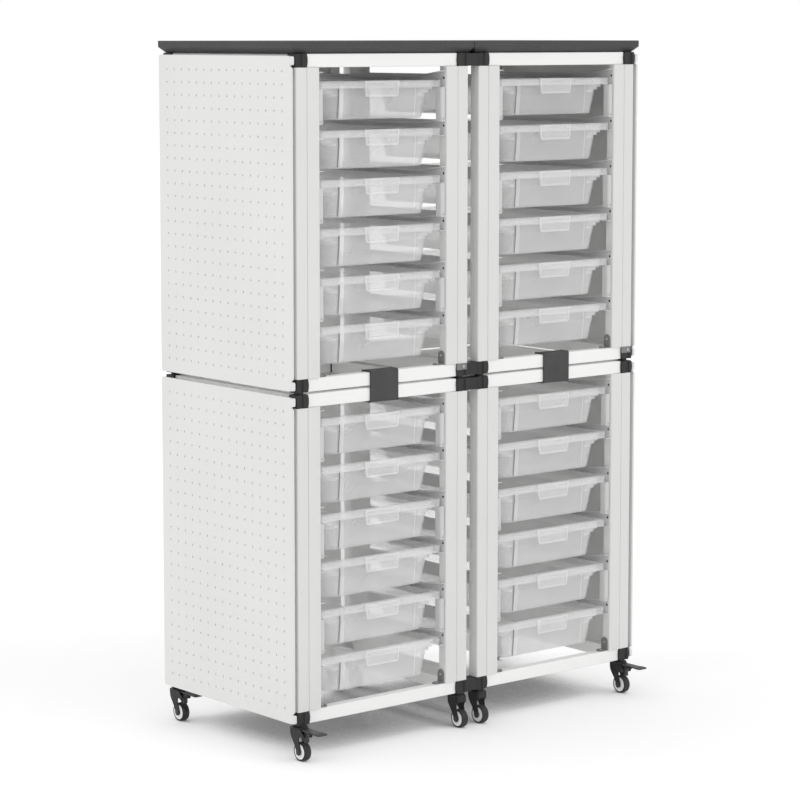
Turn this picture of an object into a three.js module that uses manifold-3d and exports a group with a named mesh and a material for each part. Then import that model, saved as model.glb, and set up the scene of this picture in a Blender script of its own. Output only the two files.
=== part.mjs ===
// Classroom tray storage unit: four tray modules, two wide and two high, on eight swivel casters.
// Millimetres, +Z up, the front faces -Y, and the origin is on the floor under the middle of the unit.
import * as THREE from 'three';
import { mergeVertices } from 'three/addons/utils/BufferGeometryUtils.js';
import Module from 'manifold-3d';

const wasm = await Module();
wasm.setup();

// Trays
const trayWidth = 312;
const trayLength = 427;
const trayHeight = 75;
const trayWall = 2.5;
const trayRows = 6;
const trayPitch = 95;
const rimDrop = 14;
const rimSide = 13.5;
const rimEnd = 10.5;
const stepDrop = 9.5;
const stepSide = 20;
const stepEnd = 4.5;
const taperSide = 7;
const taperEnd = 4;
const rimRadius = 8;
const bodyRadius = 24;
const tabWidth = 88;
const tabFoot = 82;
const tabHeight = 31;
const tabThickness = 3;
const tabEdge = 4;
const tabRecess = 1;

// Modules
const moduleWidth = 435;
const moduleGap = 28;
const stackGap = 4.5;
const trayTopDrop = 53;
const trayFloorClear = 20.5;
const trayFrontRecess = 9;
const traySideClear = 4.5;
const seatGap = 0.3;

// Frame members
const tubeWidth = 27;
const tubeDepth = 26;
const uprightDepth = 22;
const postGroove = 1.5;
const railHeight = 26;
const railDepth = 22;
const railRecess = 3.5;
const connectorProud = 1;
const bossBase = 20;
const bossTop = 14;
const plateOverlap = 0.6;

// Tray runners
const runnerSheet = 1.5;
const runnerReach = 12;
const runnerHeadroom = 7;
const runnerInset = 3;
const mouthLength = 70;
const mouthRise = 10;

// Foot brackets
const bracketSheet = 2.5;
const bracketHeight = 28;
const bracketFoot = 22;
const bracketWidth = 18;

// Peg panels
const panelThickness = 4.6;
const panelStandoff = 7.4;
const panelInset = 3.75;
const panelRadius = 5;
const notchDepth = 7;
const notchHeight = 22;

// Top boards
const boardThickness = 24;
const boardEdge = 12.5;
const boardOverhang = 3;
const boardSeam = 0.6;

// Stack clips
const clipWidth = 70;
const clipSheet = 3;
const clipFit = 0.3;
const clipLip = 6;

// Casters
const casterHeight = 72.5;
const wheelRadius = 19;
const wheelWidth = 17;
const wheelShoulder = 2.5;
const wheelSides = 14;
const axleRadius = 3;
const axleFit = 0.8;
const stemInset = 14;
const stemRadius = 5;
const stemLength = 15;
const stemFit = 0.9;
const collarRadius = 16;
const collarHeight = 6;
const trail = 8;
const forkSheet = 2.2;
const forkSideFit = 0.8;
const forkBack = 12;
const forkFront = 15;
const forkCrown = 18;
const forkFoot = 6.5;

// Brake pedals
const pedalReach = 74;
const pedalWidth = 23;
const pedalSheet = 3;
const pivotForward = 21;
const pivotHeight = 52;
const pivotRadius = 2.5;
const pivotFit = 0.6;
const knuckleRadius = 5;
const pedalRise = 8;
const shoeLength = 9;

// Sizes that follow from the ones above
const moduleDepth = trayFrontRecess + trayLength + seatGap + runnerSheet;
const moduleHeight = trayTopDrop + (trayRows - 1) * trayPitch + trayHeight + trayFloorClear + railHeight;
const openingHalf = trayWidth / 2 + traySideClear;
const panelOut = panelStandoff + panelThickness;
const sideLink = moduleGap / 2;
const boardTop = casterHeight + 2 * moduleHeight + stackGap + boardThickness;
const frontReach = stemInset - pedalReach;
const backReach = moduleDepth + boardOverhang;
const originY = (frontReach + backReach) / 2;
const moduleX = (moduleWidth + moduleGap) / 2;
const moduleFloor = { lower: casterHeight, upper: casterHeight + moduleHeight + stackGap };

const paint = (color, roughness, metalness = 0) =>
  new THREE.MeshStandardMaterial({ color, roughness, metalness });
const whitePaint = paint(0xe6e6e4, 0.45);
const panelPaint = paint(0xe9e9e8, 0.5);
const charcoal = paint(0x4f5052, 0.6);
const blackPlastic = paint(0x333436, 0.5);
const treadRubber = paint(0x48494b, 0.8);
const clearPlastic = new THREE.MeshStandardMaterial({
  color: 0xdde1e3,
  roughness: 0.25,
  transparent: true,
  opacity: 0.5,
});

// A closed three.js geometry as a solid that can be joined and cut
function solidOf(geometry) {
  const bare = geometry.clone();
  bare.deleteAttribute('normal');
  bare.deleteAttribute('uv');
  const merged = mergeVertices(bare, 1e-4);
  return new wasm.Manifold(new wasm.Mesh({
    numProp: 3,
    vertProperties: new Float32Array(merged.attributes.position.array),
    triVerts: new Uint32Array(merged.index.array),
  }));
}

function geometryOf(solid) {
  const mesh = solid.getMesh();
  const geometry = new THREE.BufferGeometry();
  geometry.setAttribute('position', new THREE.BufferAttribute(mesh.vertProperties, 3));
  geometry.setIndex(new THREE.BufferAttribute(mesh.triVerts, 1));
  return geometry;
}

const joined = (solids) => solids.reduce((whole, solid) => whole.add(solid));
const mirrorX = (solid) => solid.mirror([1, 0, 0]);

function block([x0, x1], [y0, y1], [z0, z1]) {
  const box = new THREE.BoxGeometry(Math.abs(x1 - x0), Math.abs(y1 - y0), Math.abs(z1 - z0));
  return solidOf(box.translate((x0 + x1) / 2, (y0 + y1) / 2, (z0 + z1) / 2));
}

// An outline drawn in plan, raised from z0 to z1
function raised(points, z0, z1) {
  const shape = new THREE.Shape(points.map(([x, y]) => new THREE.Vector2(x, y)));
  const slab = new THREE.ExtrudeGeometry(shape, { depth: z1 - z0, bevelEnabled: false });
  return solidOf(slab.translate(0, 0, z0));
}

// An outline drawn in side view as (y, z), drawn out along X from x0 to x1
function alongX(points, x0, x1) {
  const shape = new THREE.Shape(points.map(([y, z]) => new THREE.Vector2(y, z)));
  const bar = new THREE.ExtrudeGeometry(shape, { depth: x1 - x0, bevelEnabled: false });
  bar.applyMatrix4(new THREE.Matrix4().makeBasis(
    new THREE.Vector3(0, 1, 0),
    new THREE.Vector3(0, 0, 1),
    new THREE.Vector3(1, 0, 0),
  ));
  return solidOf(bar.translate(x0, 0, 0));
}

function upright(radius, z0, z1, sides, [x, y] = [0, 0]) {
  const rod = new THREE.CylinderGeometry(radius, radius, z1 - z0, sides);
  return solidOf(rod.rotateX(Math.PI / 2).translate(x, y, (z0 + z1) / 2));
}

function crossRod(radius, x0, x1, sides, [y, z]) {
  const rod = new THREE.CylinderGeometry(radius, radius, x1 - x0, sides);
  return solidOf(rod.rotateZ(Math.PI / 2).translate((x0 + x1) / 2, y, z));
}

// One level outline of a tub: a rectangle with round corners, counter-clockwise from the right
function roundedRing({ halfX, halfY, z, radius }, cornerSteps) {
  const ring = [];
  const corners = [[1, 1], [-1, 1], [-1, -1], [1, -1]];
  corners.forEach(([sx, sy], quarter) => {
    for (let step = 0; step <= cornerSteps; step += 1) {
      const angle = (quarter + step / cornerSteps) * Math.PI / 2;
      const x = sx * (halfX - radius) + radius * Math.cos(angle);
      const y = sy * (halfY - radius) + radius * Math.sin(angle);
      ring.push([x, y, z]);
    }
  });
  return ring;
}

// A skin over level outlines in order, closed by a flat floor at the first and the last of them
function loft(levels, cornerSteps) {
  const rings = levels.map((level) => roundedRing(level, cornerSteps));
  const count = rings[0].length;
  const index = [];
  for (let row = 0; row + 1 < rings.length; row += 1) {
    for (let i = 0; i < count; i += 1) {
      const next = (i + 1) % count;
      const [a, b] = [row * count + i, row * count + next];
      const [c, d] = [a + count, b + count];
      index.push(a, b, d, a, d, c);
    }
  }
  const last = (rings.length - 1) * count;
  for (let i = 1; i + 1 < count; i += 1) {
    index.push(0, i + 1, i);
    index.push(last, last + i, last + i + 1);
  }
  const geometry = new THREE.BufferGeometry();
  geometry.setAttribute('position', new THREE.Float32BufferAttribute(rings.flat(2), 3));
  geometry.setIndex(index);
  return solidOf(geometry);
}

// Tray: a tapered tub whose stepped shoulder leads to a rim with a turned-down lip and a pull tab.
// Its own frame has z 0 at the rim's top and the origin in the middle of the plan.
function traySolid() {
  const rim = { halfX: trayWidth / 2, halfY: trayLength / 2 };
  const within = (from, dx, dy, z, radius) =>
    ({ halfX: from.halfX - dx, halfY: from.halfY - dy, z, radius });
  const lipFace = within(rim, trayWall, trayWall, -rimDrop, rimRadius - trayWall);
  const mouth = within(rim, rimSide, rimEnd, 0, rimRadius);
  const shoulder = within(mouth, stepSide, stepEnd, -stepDrop, bodyRadius);
  const floor = within(shoulder, taperSide, taperEnd, trayWall - trayHeight, bodyRadius);
  const outside = (level) => within(level, -trayWall, -trayWall, level.z - trayWall, level.radius + trayWall);
  const skin = [
    outside(floor),
    outside(shoulder),
    { ...outside(mouth), z: -stepDrop - trayWall },
    outside(mouth),
    lipFace,
    { ...rim, z: -rimDrop, radius: rimRadius },
    { ...rim, z: 0, radius: rimRadius },
    mouth,
    { ...mouth, z: -stepDrop },
    shoulder,
    floor,
  ];
  const tub = loft(skin, 1);
  const front = -trayLength / 2;
  const tabOutline = (edge) => [
    [-tabFoot / 2 + edge, edge - tabHeight],
    [tabFoot / 2 - edge, edge - tabHeight],
    [tabWidth / 2 - edge, -edge],
    [edge - tabWidth / 2, -edge],
  ];
  const plateAt = (points, y0, y1) => {
    const shape = new THREE.Shape(points.map(([x, z]) => new THREE.Vector2(x, z)));
    const plate = new THREE.ExtrudeGeometry(shape, { depth: y1 - y0, bevelEnabled: false });
    return solidOf(plate.rotateX(Math.PI / 2).translate(0, y1, 0));
  };
  const tab = plateAt(tabOutline(0), front - tabThickness, front + plateOverlap);
  const label = plateAt(tabOutline(tabEdge), front - tabThickness - 1, front - tabThickness + tabRecess);
  return tub.add(tab).subtract(label);
}

// A piece drawn for the front of a module, turned to the back
const backward = (solid) => solid.mirror([0, 1, 0]).translate([0, moduleDepth, 0]);

// A piece drawn for the front left corner of a module, repeated at all four corners
function atFourCorners(solid) {
  const front = solid.add(mirrorX(solid));
  return front.add(backward(front));
}

const left = -moduleWidth / 2;

// Corner post: a square tube with a narrower tray upright beside it, and a groove where they meet
function postSolid() {
  const seam = left + tubeWidth;
  const inner = -openingHalf;
  return raised([
    [left, 0],
    [seam - postGroove, 0],
    [seam, postGroove],
    [seam + postGroove, 0],
    [inner, 0],
    [inner, uprightDepth],
    [seam, uprightDepth],
    [seam, tubeDepth],
    [left, tubeDepth],
  ], railHeight, moduleHeight - railHeight + plateOverlap);
}

// A boss that tapers out from a connector's side, to the panel or to the next module's boss
function bossSolid(reach) {
  const frustum = new THREE.CylinderGeometry(bossTop / Math.SQRT2, bossBase / Math.SQRT2, reach, 4);
  frustum.rotateY(Math.PI / 4).rotateZ(Math.PI / 2);
  const face = left - connectorProud;
  const middle = (face + plateOverlap + face + plateOverlap - reach) / 2;
  return solidOf(frustum.translate(middle, tubeDepth / 2, railHeight / 2));
}

// The four connectors and four rails that close a module's bottom or top, from z 0 to the rail height
function ringSolid(outerSide) {
  const corner = block(
    [left - connectorProud, left + tubeWidth + connectorProud],
    [-connectorProud, tubeDepth],
    [0, railHeight],
  );
  const bossReach = (gap) => bossSolid(gap - connectorProud + plateOverlap);
  const outer = bossReach(panelStandoff);
  const inner = bossReach(sideLink);
  const bosses = outerSide < 0 ? outer.add(mirrorX(inner)) : inner.add(mirrorX(outer));
  const frontRail = block(
    [left + tubeWidth, -left - tubeWidth],
    [railRecess, railRecess + railDepth],
    [0, railHeight],
  );
  const sideRail = block(
    [left + railRecess, left + railRecess + railDepth],
    [tubeDepth - plateOverlap, moduleDepth - tubeDepth + plateOverlap],
    [0, railHeight],
  );
  return joined([
    atFourCorners(corner),
    bosses,
    backward(bosses),
    frontRail,
    backward(frontRail),
    sideRail,
    mirrorX(sideRail),
  ]);
}

// Tray runner on the left: a channel with a ledge below, a lip above that opens at the mouth,
// and a back stop. Its z 0 is the rim's top.
function runnerSolid() {
  const wall = -openingHalf;
  const ledgeTop = -rimDrop - seatGap;
  const ledgeFoot = ledgeTop - runnerSheet;
  const lipTop = runnerHeadroom + runnerSheet;
  const mouth = runnerInset + mouthLength;
  const stopFace = moduleDepth - runnerSheet;
  const bar = alongX([
    [runnerInset, ledgeFoot],
    [moduleDepth, ledgeFoot],
    [moduleDepth, lipTop],
    [mouth, lipTop],
    [runnerInset, lipTop + mouthRise],
  ], wall - plateOverlap, wall + runnerReach);
  const channel = alongX([
    [0, ledgeTop],
    [stopFace, ledgeTop],
    [stopFace, runnerHeadroom],
    [mouth, runnerHeadroom],
    [0, runnerHeadroom + mouthRise * mouth / mouthLength],
  ], wall + runnerSheet, wall + runnerReach + 1);
  return bar.subtract(channel);
}

// Rack: posts, runners and the top ring of rails and connectors
function rackSolid(outerSide) {
  const topRing = ringSolid(outerSide).translate([0, 0, moduleHeight - railHeight]);
  const runner = runnerSolid();
  const pair = runner.add(mirrorX(runner));
  const rows = [];
  for (let row = 0; row < trayRows; row += 1) {
    rows.push(pair.translate([0, 0, moduleHeight - trayTopDrop - row * trayPitch]));
  }
  return joined([atFourCorners(postSolid()), ...rows, topRing]);
}

// Base frame: the bottom ring with an L bracket at the foot of each front tray upright
function baseSolid(outerSide, carriesCasters) {
  const wall = -openingHalf + seatGap;
  const near = railRecess + 1;
  const bracket = block(
    [wall, wall + bracketSheet],
    [near, near + bracketWidth],
    [railHeight - plateOverlap, railHeight + bracketHeight],
  ).add(block(
    [wall, wall + bracketFoot],
    [near, near + bracketWidth],
    [railHeight - plateOverlap, railHeight + bracketSheet],
  ));
  const ring = joined([ringSolid(outerSide), bracket, mirrorX(bracket)]);
  const centre = [left + stemInset, stemInset];
  if (carriesCasters) {
    return ring.subtract(atFourCorners(upright(stemRadius + stemFit, -1, stemLength + 1, 8, centre)));
  }
  const pad = block(
    [left + connectorProud, left + tubeWidth - connectorProud],
    [connectorProud, tubeDepth - connectorProud],
    [-stackGap, plateOverlap],
  );
  return ring.add(atFourCorners(pad));
}

// Peg panel for a module's left side, with its corners cut back round the connectors
function panelSolid() {
  const [low, high] = [panelInset, moduleHeight - panelInset];
  const sheet = new THREE.Shape();
  const corner = (y, z, fromY, fromZ, toY, toZ) => {
    sheet.lineTo(y + fromY * panelRadius, z + fromZ * panelRadius);
    sheet.quadraticCurveTo(y, z, y + toY * panelRadius, z + toZ * panelRadius);
  };
  const [near, far] = [notchDepth, moduleDepth - notchDepth];
  const [foot, head] = [low + notchHeight, high - notchHeight];
  sheet.moveTo(near + panelRadius, low);
  corner(far, low, -1, 0, 0, 1);
  sheet.lineTo(far, foot);
  corner(moduleDepth, foot, -1, 0, 0, 1);
  corner(moduleDepth, head, 0, -1, -1, 0);
  sheet.lineTo(far, head);
  corner(far, high, 0, -1, -1, 0);
  corner(near, high, 1, 0, 0, -1);
  sheet.lineTo(near, head);
  corner(0, head, 1, 0, 0, -1);
  corner(0, foot, 0, 1, 1, 0);
  sheet.lineTo(near, foot);
  corner(near, low, 0, 1, 1, 0);
  const plate = new THREE.ExtrudeGeometry(sheet, {
    depth: panelThickness,
    bevelEnabled: false,
    curveSegments: 2,
  });
  plate.applyMatrix4(new THREE.Matrix4().makeBasis(
    new THREE.Vector3(0, 1, 0),
    new THREE.Vector3(0, 0, 1),
    new THREE.Vector3(1, 0, 0),
  ));
  return solidOf(plate.translate(left - panelOut, 0, 0));
}

// Top board: a square edge above and a bevel below that runs in at 45 degrees
function boardSolid() {
  const outer = left - panelOut;
  const seam = moduleWidth / 2 + sideLink - boardSeam / 2;
  const level = (inset, z) => ({
    halfX: (seam - outer) / 2 - inset,
    halfY: moduleDepth / 2 + boardOverhang - inset,
    z,
    radius: 1,
  });
  const bevel = boardThickness - boardEdge;
  const slab = loft([level(bevel, 0), level(0, bevel), level(0, boardThickness)], 1);
  return slab.translate([(seam + outer) / 2, moduleDepth / 2, 0]);
}

// Stack clip: a C of sheet that holds two rails together, drawn for the front with z 0 between the modules
function clipSolid() {
  const inside = railHeight + stackGap / 2 + clipFit;
  const outside = inside + clipSheet;
  const face = railRecess - clipFit;
  const back = railRecess + railDepth + clipFit;
  const turned = inside - clipLip;
  return alongX([
    [face - clipSheet, -outside],
    [back + clipSheet, -outside],
    [back + clipSheet, -turned],
    [back, -turned],
    [back, -inside],
    [face, -inside],
    [face, inside],
    [back, inside],
    [back, turned],
    [back + clipSheet, turned],
    [back + clipSheet, outside],
    [face - clipSheet, outside],
  ], -clipWidth / 2, clipWidth / 2);
}

// Caster fork: stem, collar, crown, two legs and the axle; z 0 is the floor and the stem is on the axis
function forkSolid(carriesPedal) {
  const shoulder = casterHeight - seatGap - collarHeight;
  const inner = wheelWidth / 2 + forkSideFit;
  const outer = inner + forkSheet;
  const crownFoot = shoulder - forkCrown;
  const earTip = pivotForward + knuckleRadius;
  const plainFront = [
    [-forkFront, crownFoot],
    [-forkFront, shoulder],
  ];
  const earFront = [
    [-forkFront, pivotHeight - knuckleRadius],
    [-earTip, pivotHeight - knuckleRadius],
    [-earTip, pivotHeight + knuckleRadius],
    [-forkFront, shoulder],
  ];
  const outline = [
    [forkBack, shoulder],
    [forkBack, crownFoot],
    [forkFoot - trail, wheelRadius],
    [forkFoot / 2 - trail, wheelRadius - forkFoot],
    [-forkFoot / 2 - trail, wheelRadius - forkFoot],
    [-forkFoot - trail, wheelRadius],
    ...(carriesPedal ? earFront : plainFront),
  ];
  const slots = [block([-inner, inner], [-pedalReach, forkBack + 1], [0, crownFoot])];
  if (carriesPedal) {
    slots.push(block([-inner, inner], [-pedalReach, -forkFront], [0, shoulder + 1]));
  }
  const pieces = [
    upright(stemRadius, shoulder, casterHeight + stemLength, 6),
    upright(collarRadius, shoulder - plateOverlap, shoulder + collarHeight, 8),
    alongX(outline.reverse(), -outer, outer).subtract(joined(slots)),
    crossRod(axleRadius, -outer + plateOverlap, outer - plateOverlap, 6, [-trail, wheelRadius]),
  ];
  if (carriesPedal) {
    const pin = [-pivotForward, pivotHeight];
    pieces.push(crossRod(pivotRadius, -outer + plateOverlap, outer - plateOverlap, 6, pin));
  }
  return joined(pieces);
}

// Wheel: a tyre with chamfered shoulders and a bore for the axle, turned about its own X axis
function wheelSolid() {
  const half = wheelWidth / 2;
  const bore = axleRadius + axleFit;
  const side = [
    [bore, half],
    [wheelRadius - wheelShoulder, half],
    [wheelRadius, half - wheelShoulder],
  ];
  const other = side.map(([radius, x]) => [radius, -x]).reverse();
  const profile = [...side, ...other, side[0]].map(([radius, x]) => new THREE.Vector2(radius, x));
  const tyre = new THREE.LatheGeometry(profile.reverse(), wheelSides);
  return solidOf(tyre.rotateZ(-Math.PI / 2));
}

// Brake pedal on its pivot: a knuckle round the pin, a tread plate forward and a shoe toward the wheel
function pedalSolid() {
  const half = wheelWidth / 2 - forkSideFit;
  const reach = pedalReach - pivotForward;
  const knuckle = crossRod(knuckleRadius, -half, half, 8, [0, 0]);
  const arm = alongX([
    [0, knuckleRadius - pedalSheet],
    [0, knuckleRadius],
    [-reach, knuckleRadius + pedalRise],
    [-reach, knuckleRadius + pedalRise - pedalSheet],
  ], -half, half);
  const treadStart = knuckleRadius * 2;
  const slope = pedalRise / reach;
  const treadPlate = alongX([
    [-treadStart, knuckleRadius + slope * treadStart - pedalSheet],
    [-treadStart, knuckleRadius + slope * treadStart],
    [-reach, knuckleRadius + pedalRise],
    [-reach, knuckleRadius + pedalRise - pedalSheet],
  ], -pedalWidth / 2, pedalWidth / 2);
  const shoe = alongX([
    [-knuckleRadius, 0],
    [-knuckleRadius, -knuckleRadius - shoeLength],
    [knuckleRadius / 2, -knuckleRadius - shoeLength],
    [knuckleRadius / 2, 0],
  ], -half, half);
  const bore = crossRod(pivotRadius + pivotFit, -pedalWidth, pedalWidth, 8, [0, 0]);
  return joined([knuckle, arm, treadPlate, shoe]).subtract(bore);
}

const unit = new THREE.Group();
unit.position.y = -originY;

function place(name, geometry, material, x, y, z, parent = unit) {
  const mesh = new THREE.Mesh(geometry, material);
  mesh.name = name;
  mesh.position.set(x, y, z);
  parent.add(mesh);
}

const trayGeometry = geometryOf(traySolid());
const sides = [
  { side: 'left', sign: -1 },
  { side: 'right', sign: 1 },
];

for (const { side, sign } of sides) {
  const panel = sign < 0 ? panelSolid() : mirrorX(panelSolid());
  const board = sign < 0 ? boardSolid() : mirrorX(boardSolid());
  const panelGeometry = geometryOf(panel);
  const rackGeometry = geometryOf(rackSolid(sign));
  for (const level of ['upper', 'lower']) {
    const module = new THREE.Group();
    module.position.set(sign * moduleX, 0, moduleFloor[level]);
    unit.add(module);
    const name = `${level}_${side}`;
    const baseGeometry = geometryOf(baseSolid(sign, level === 'lower'));
    place(`${name}_base_frame`, baseGeometry, whitePaint, 0, 0, 0, module);
    place(`${name}_tray_rack`, rackGeometry, whitePaint, 0, 0, 0, module);
    place(`${name}_peg_panel`, panelGeometry, panelPaint, 0, 0, 0, module);
    for (let row = 0; row < trayRows; row += 1) {
      const rimTop = moduleHeight - trayTopDrop - row * trayPitch;
      const middle = trayFrontRecess + trayLength / 2;
      place(`${name}_tray_${row + 1}`, trayGeometry, clearPlastic, 0, middle, rimTop, module);
    }
  }
  const boardFloor = boardTop - boardThickness;
  place(`${side}_top_board`, geometryOf(board), charcoal, sign * moduleX, 0, boardFloor);
  const clip = clipSolid();
  const joint = casterHeight + moduleHeight + stackGap / 2;
  place(`${side}_front_stack_clip`, geometryOf(clip), charcoal, sign * moduleX, 0, joint);
}

const wheelGeometry = geometryOf(wheelSolid());
const plainFork = geometryOf(forkSolid(false));
const brakedFork = geometryOf(forkSolid(true));
const pedalGeometry = geometryOf(pedalSolid());
const outerStem = moduleX + moduleWidth / 2 - stemInset;
const innerStem = moduleX - moduleWidth / 2 + stemInset;
const columns = [
  { column: 'left', x: -outerStem, braked: true },
  { column: 'inner_left', x: -innerStem, braked: false },
  { column: 'inner_right', x: innerStem, braked: false },
  { column: 'right', x: outerStem, braked: true },
];

for (const { row, y } of [{ row: 'front', y: stemInset }, { row: 'back', y: moduleDepth - stemInset }]) {
  for (const { column, x, braked } of columns) {
    const name = `${row}_${column}`;
    place(`${name}_caster_fork`, braked ? brakedFork : plainFork, blackPlastic, x, y, 0);
    place(`${name}_caster_wheel`, wheelGeometry, treadRubber, x, y - trail, wheelRadius);
    if (braked) {
      place(`${name}_brake_pedal`, pedalGeometry, blackPlastic, x, y - pivotForward, pivotHeight);
    }
  }
}

export default unit;
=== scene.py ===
import math
import bmesh
import bpy
import numpy as np
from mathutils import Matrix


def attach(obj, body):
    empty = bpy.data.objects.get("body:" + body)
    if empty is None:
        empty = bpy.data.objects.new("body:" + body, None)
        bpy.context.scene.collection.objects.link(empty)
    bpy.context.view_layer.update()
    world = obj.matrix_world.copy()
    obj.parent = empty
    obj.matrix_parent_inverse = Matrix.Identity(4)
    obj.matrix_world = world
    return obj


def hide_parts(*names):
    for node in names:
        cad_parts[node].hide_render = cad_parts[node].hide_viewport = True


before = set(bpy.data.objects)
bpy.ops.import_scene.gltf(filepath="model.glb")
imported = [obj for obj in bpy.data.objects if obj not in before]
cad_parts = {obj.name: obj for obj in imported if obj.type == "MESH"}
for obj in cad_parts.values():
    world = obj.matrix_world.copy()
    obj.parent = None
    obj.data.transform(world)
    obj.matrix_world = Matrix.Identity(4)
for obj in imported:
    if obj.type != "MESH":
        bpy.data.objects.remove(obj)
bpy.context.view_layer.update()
print("frame loaded:", len(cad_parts), "nodes")

# All lengths below are millimetres in the CAD frame: front towards -Y, floor at z 0
mm = 0.001
unit = dict(
    moduleX=231.5, frontY=-190.4, floors=dict(lower=72.5, upper=726.5),
    height=649.5, depth=437.8, half=217.5, openingHalf=160.5, rail=26.0,
)
signs = dict(left=-1, right=1)
frontY, rail = unit["frontY"], unit["rail"]
midY = frontY + unit["depth"] / 2
scene = bpy.context.scene


# An object with this data, put in the scene
def placed(name, data):
    made = bpy.data.objects.new(name, data)
    scene.collection.objects.link(made)
    return made


# camera, stage and light

viewPoint = dict(
    place=(-3610.4, -4299.0, 1413.7), yaw=39.761, pitch=6.344, lens=122.288, shift=-0.08,
    farthest=200,  # metres
)
cameraData = bpy.data.cameras.new("camera")
camera = placed("camera", cameraData)
camera.location = [v * mm for v in viewPoint["place"]]
camera.rotation_euler = (math.radians(90 - viewPoint["pitch"]), 0, math.radians(-viewPoint["yaw"]))
cameraData.lens = viewPoint["lens"]
cameraData.shift_y = viewPoint["shift"]
cameraData.clip_end = viewPoint["farthest"]
scene.camera = camera
scene.view_settings.view_transform = "Standard"
scene.cycles.transparent_max_bounces = 64  # a ray crosses many clear walls
scene.cycles.diffuse_bounces = 12  # light goes to and fro between white sheets


# A colour written as web hex, turned to the linear values that shaders take
def shade(text):
    levels = np.array([int(text[i:i + 2], 16) for i in (0, 2, 4)]) / 255
    linear = np.where(levels <= 0.04045, levels / 12.92, ((levels + 0.055) / 1.055) ** 2.4)
    return (*linear.tolist(), 1.0)


# The same colour made darker or paler: each channel times a factor, plus a lift, and 1 at most
def toned(colour, factor, lift=0.0):
    return tuple(min(1.0, c * factor + lift) for c in colour[:3]) + (1.0,)


# One socket of a node tree; arithmetic on it adds Math nodes
class Wire:
    def __init__(self, tree, socket=None):
        self.tree, self.socket = tree, socket

    # any node: its settings first, then the values or links of its sockets
    def node(self, kind, settings=None, sockets=None, out=0):
        made = self.tree.nodes.new("ShaderNode" + kind)
        for key, value in (settings or {}).items():
            if key == "stops":
                ramp = made.color_ramp.elements
                while len(ramp) < len(value):
                    ramp.new(0.5)
                for stop, (place, colour) in zip(ramp, value):
                    stop.position, stop.color = place, colour
            else:
                setattr(made, key, value)
        for key, value in (sockets or {}).items():
            if isinstance(value, Wire):
                self.tree.links.new(value.socket, made.inputs[key])
            else:
                made.inputs[key].default_value = value
        return Wire(self.tree, made.outputs[out] if made.outputs else None)

    # noise and cells lie in the object's own space
    def noise(self, scale, detail, more=None):
        place = self.node("TexCoord", out="Object")
        return self.node("TexNoise", None, {"Vector": place, "Scale": scale, "Detail": detail, **(more or {})})

    def cells(self, scale):
        return self.node("TexVoronoi", None, {"Vector": self.node("TexCoord", out="Object"), "Scale": scale})

    def ramp(self, stops, at):
        return self.node("ValToRGB", dict(stops=stops), {"Fac": at})

    def bump(self, height, strength, distance):
        return self.node("Bump", None, {"Height": height, "Strength": strength, "Distance": distance})

    # one Principled shader: constants go on its own sockets, what varies is linked
    def principled(self, sockets):
        self.node("OutputMaterial", None, {"Surface": self.node("BsdfPrincipled", None, sockets)})

    def maths(self, operation, first, second):
        return self.node("Math", dict(operation=operation), {0: first, 1: second})

    def __add__(self, other):
        return self.maths("ADD", self, other)

    def __sub__(self, other):
        return self.maths("SUBTRACT", self, other)

    def __mul__(self, other):
        return self.maths("MULTIPLY", self, other)

    def __gt__(self, other):
        return self.maths("GREATER_THAN", self, other)

    __radd__ = __add__


def blankTree(owner):
    owner.use_nodes = True
    owner.node_tree.nodes.clear()
    return Wire(owner.node_tree)


def newMaterial(name):
    material = bpy.data.materials.new(name)
    return material, blankTree(material)


stageLook = dict(size=60000, floor="fdfdfd", returned="f4f4f4", glow=0.12, dome=0.83)
# how far the floor looks for cover, in metres, and the free shares between which its colour fades from dark:
# painted shade in the floor's colour under the unit
paintedShadowLook = dict(reach=0.5, deep=0.12, open=0.36, dark="6c6c6c")
lampLook = dict(
    spread=50,
    places=dict(  # sideways angle and height in degrees, and strength
        front_right=(28, 32, 0.38),  # along the open fronts
        left=(-108, 36, 0.42),  # on the peg panels
    ),
)


# Floor: white matt with a faint glow, so that it runs into the white backdrop; its colour is darker in the nook
# under the unit, a painted shadow that follows ambient occlusion; what light it returns to the unit is a little
# less
def floorFinish():
    material, tree = newMaterial("paper_floor")
    bounce = tree.node("LightPath", out="Is Diffuse Ray")
    # the colour is ramped by ambient occlusion to a painted shadow under the unit
    free = tree.node("AmbientOcclusion", None, {"Distance": paintedShadowLook["reach"]}, "AO")
    stops = [(paintedShadowLook["deep"], shade(paintedShadowLook["dark"])), (paintedShadowLook["open"], shade(stageLook["floor"]))]
    matt = tree.node("BsdfDiffuse", None, {"Color": tree.ramp(stops, free)})
    glow = tree.node("Emission", None, {"Strength": stageLook["glow"]})
    shown = tree.node("AddShader", None, {0: matt, 1: glow})
    dull = tree.node("BsdfDiffuse", None, {"Color": shade(stageLook["returned"])})
    mixed = tree.node("MixShader", None, {0: bounce, 1: shown, 2: dull})
    tree.node("OutputMaterial", None, {"Surface": mixed})
    return material


# Backdrop: white wherever it is seen, straight or in a reflection, and a little less as a light
def backdropLight():
    world = bpy.data.worlds.new("studio")
    scene.world = world
    tree = blankTree(world)
    straight, glossy, through = (
        tree.node("LightPath", out=f"Is {kind} Ray") for kind in ("Camera", "Glossy", "Transmission")
    )
    dome = tree.node("Background", None, {"Color": (1, 1, 1, 1), "Strength": stageLook["dome"]})
    white = tree.node("Background", None, {"Color": (1, 1, 1, 1), "Strength": 1.0})
    mixed = tree.node("MixShader", None, {0: straight + glossy + through > 0.5, 1: dome, 2: white})
    tree.node("OutputWorld", None, {"Surface": mixed})


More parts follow.
